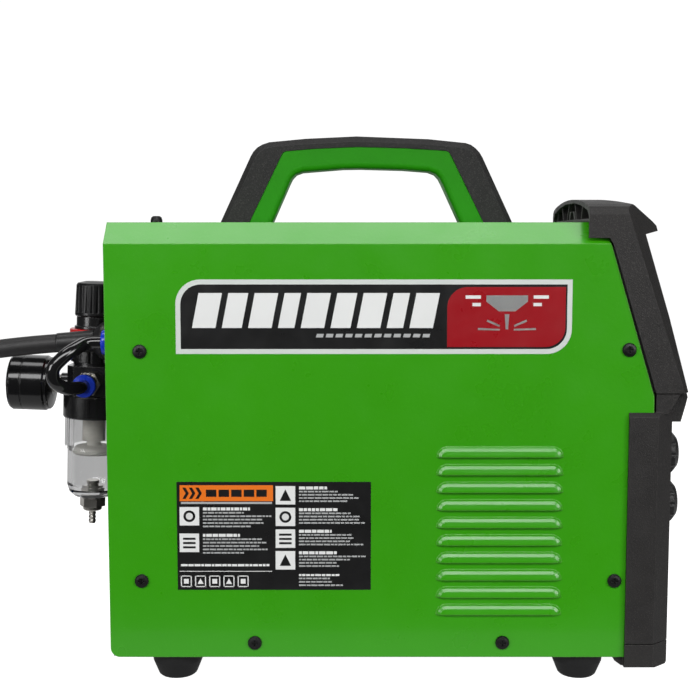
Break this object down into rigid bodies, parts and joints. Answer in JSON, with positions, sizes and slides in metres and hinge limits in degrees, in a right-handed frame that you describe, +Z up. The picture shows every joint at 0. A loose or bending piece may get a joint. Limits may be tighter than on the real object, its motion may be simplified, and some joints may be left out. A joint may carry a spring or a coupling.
{
  "type": "plasma cutter unit",
  "caption": "Portable inverter plasma cutter: louvred steel case with carry handle, moulded control nose, torch and work sockets, rear filter regulator, gauge, air hose and mains lead.",
  "frame": {"origin": "middle of the unit's footprint at floor level, measured without the mains lead, its coil and its plug", "axes": "+Z up, +X towards the control panel and sockets, +Y towards the side away from the hose loop"},
  "size_m": [0.9489, 0.1967, 0.407],
  "materials": {
    "green_paint": "glossy powder coat with light orange peel",
    "black_paint": "satin powder coat",
    "bezel_plastic": "fine-textured moulded plastic",
    "handle_black": "fine-textured moulded plastic",
    "handle_green": "satin moulded plastic",
    "foot_rubber": "matt",
    "screw_black": "black oxide",
    "zinc": "zinc plated",
    "galvanised": "plain sheet",
    "overlay": "printed polyester film",
    "display": "smoked acrylic",
    "lens": "tinted clear plastic",
    "pcb": "solder resist",
    "knob_plastic": "fine-textured",
    "button_plastic": "satin",
    "brass": "machined",
    "socket_black": "moulded nylon",
    "fan_black": "moulded",
    "switch_black": "moulded",
    "gland_black": "moulded nylon",
    "cable_rubber": "matt",
    "plug_blue": "moulded",
    "regulator_black": "painted die casting",
    "red_plastic": "moulded",
    "clear_bowl": "clear polycarbonate",
    "white_plastic": "sintered or moulded",
    "nickel": "nickel plated brass",
    "gauge_black": "glossy moulded case",
    "gauge_glass": "clear lens",
    "dial_white": "printed",
    "needle_red": "painted",
    "collet_blue": "moulded",
    "hose_black": "polyurethane tube",
    "aluminium": "extruded",
    "ferrite": "sintered",
    "capacitor": "sleeved"
  },
  "bodies": {
    "chassis": {"cover_shell": "green_paint", "base_tray": "black_paint", "rear_panel": "black_paint", "front_bezel_upper": "bezel_plastic", "front_bezel_lower": "bezel_plastic", "base_trim": "bezel_plastic", "control_overlay": "overlay", "display_window": "display", "indicator_lenses": "lens", "control_pcb": "pcb", "torch_socket": "brass", "torch_socket_collar": "socket_black", "work_socket": "brass", "work_socket_collar": "socket_black", "handle_shell": "handle_black", "handle_insert": "handle_green", "handle_bolts": "zinc", "rubber_feet": "foot_rubber", "foot_screws": "zinc", "cover_screws": "screw_black", "fan_frame": "fan_black", "rear_screws": "screw_black", "switch_body": "switch_black", "cable_gland": "gland_black", "mains_cable": "cable_rubber", "mains_coil": "cable_rubber", "mains_plug": "plug_blue", "plug_pins": "brass", "frl_bracket": "galvanised", "regulator_body": "regulator_black", "regulator_bonnet": "regulator_black", "lock_ring": "red_plastic", "filter_bowl": "clear_bowl", "filter_element": "white_plastic", "baffle": "white_plastic", "drain_body": "nickel", "gauge_case": "gauge_black", "gauge_stem": "nickel", "gauge_lens": "gauge_glass", "gauge_dial": "dial_white", "outlet_fitting": "nickel", "bulkhead_fitting": "nickel", "air_hose": "hose_black", "inlet_nipple": "nickel", "main_pcb": "pcb", "heatsink": "aluminium", "transformer": "ferrite", "capacitors": "capacitor", "solenoid_valve": "brass"},
    "fan": {"fan_rotor": "fan_black"},
    "knob": {"current_knob": "knob_plastic"},
    "mode": {"mode_button": "button_plastic"},
    "purge": {"purge_button": "button_plastic"},
    "rocker": {"switch_rocker": "switch_black"},
    "screw": {"adjusting_screw": "zinc"},
    "regulator_cap": {"regulator_knob": "regulator_black"},
    "needle": {"gauge_needle": "needle_red"},
    "drain": {"drain_stem": "nickel"},
    "collet_out": {"outlet_collet": "collet_blue"},
    "collet_bulkhead": {"bulkhead_collet": "collet_blue"}
  },
  "joints": [
    {"name": "fan_spin", "type": "hinge", "parent": "chassis", "child": "fan", "pos_m": [-0.15465, 0.022, 0.082], "axis": [1, 0, 0], "continuous": true},
    {"name": "current_knob_turn", "type": "hinge", "parent": "chassis", "child": "knob", "pos_m": [0.23978, 0, 0.25377], "axis": [0.9658, 0, 0.2593], "range_deg": [-135, 135]},
    {"name": "mode_press", "type": "slide", "parent": "chassis", "child": "mode", "axis": [-0.9658, 0, -0.2593], "range_m": [0, 0.001], "stiffness_N_per_m": 400},
    {"name": "purge_press", "type": "slide", "parent": "chassis", "child": "purge", "axis": [-0.9658, 0, -0.2593], "range_m": [0, 0.001], "stiffness_N_per_m": 400},
    {"name": "rocker_tilt", "type": "hinge", "parent": "chassis", "child": "rocker", "pos_m": [-0.16465, 0.046, 0.262], "axis": [0, 1, 0], "range_deg": [0, 16]},
    {"name": "adjusting_screw_turn", "type": "hinge", "parent": "chassis", "child": "screw", "pos_m": [-0.19551, 0.006, 0.25999], "axis": [0.0401, 0, 0.9992], "range_deg": [-720, 720]},
    {"name": "regulator_knob_pull", "type": "slide", "parent": "screw", "child": "regulator_cap", "axis": [0.0401, 0, 0.9992], "range_m": [0, 0.003]},
    {"name": "gauge_needle_turn", "type": "hinge", "parent": "chassis", "child": "needle", "pos_m": [-0.25683, 0.006, 0.21591], "axis": [0.9992, 0, -0.0401], "range_deg": [0, 270], "stiffness_Nm_per_rad": 0.00002},
    {"name": "drain_push", "type": "slide", "parent": "chassis", "child": "drain", "axis": [0.0401, 0, 0.9992], "range_m": [0, 0.003], "stiffness_N_per_m": 300},
    {"name": "outlet_collet_press", "type": "slide", "parent": "chassis", "child": "collet_out", "axis": [0, 1, 0], "range_m": [0, 0.001], "stiffness_N_per_m": 600},
    {"name": "bulkhead_collet_press", "type": "slide", "parent": "chassis", "child": "collet_bulkhead", "axis": [1, 0, 0], "range_m": [0, 0.001], "stiffness_N_per_m": 600}
  ]
}
